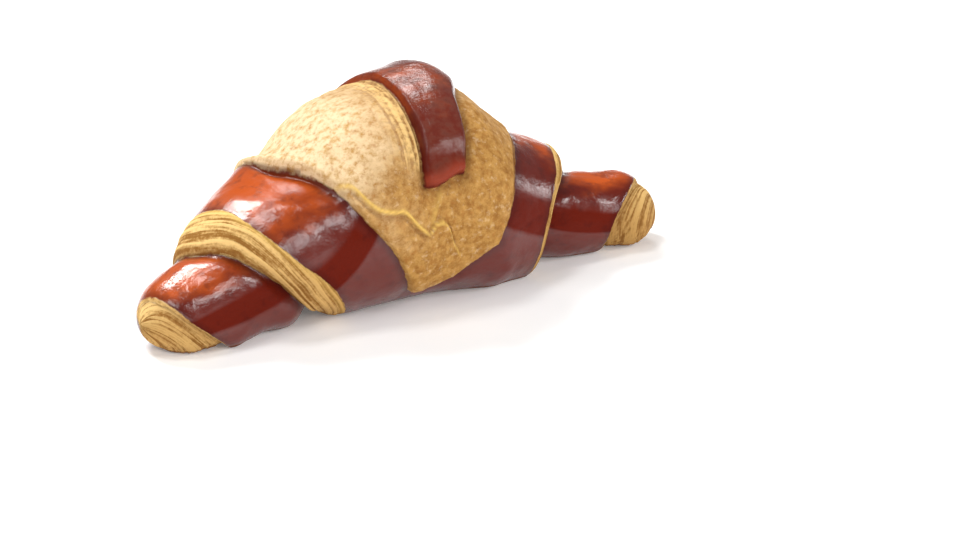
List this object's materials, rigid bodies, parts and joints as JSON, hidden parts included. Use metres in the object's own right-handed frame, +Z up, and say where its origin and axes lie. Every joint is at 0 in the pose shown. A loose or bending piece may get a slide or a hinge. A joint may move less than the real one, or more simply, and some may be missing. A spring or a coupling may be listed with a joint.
{
  "type": "croissant",
  "caption": "Whole two-colour croissant with glazed dark bands, a pale middle, laminated edges and a dark tail strip, lying on its flat underside.",
  "frame": {"origin": "middle of the croissant's footprint, on the surface it lies on", "axes": "+X along the roll towards the end with the narrow laminated edge, -Y the front that the tail strip's free end hangs over, +Z up"},
  "size_m": [0.151, 0.0626, 0.0548],
  "materials": {
    "croissant": "baked crust: semi-gloss glaze on the dark bands, matte on the pale dough"
  },
  "bodies": {
    "root": {"croissant": "croissant"}
  },
  "joints": []
}
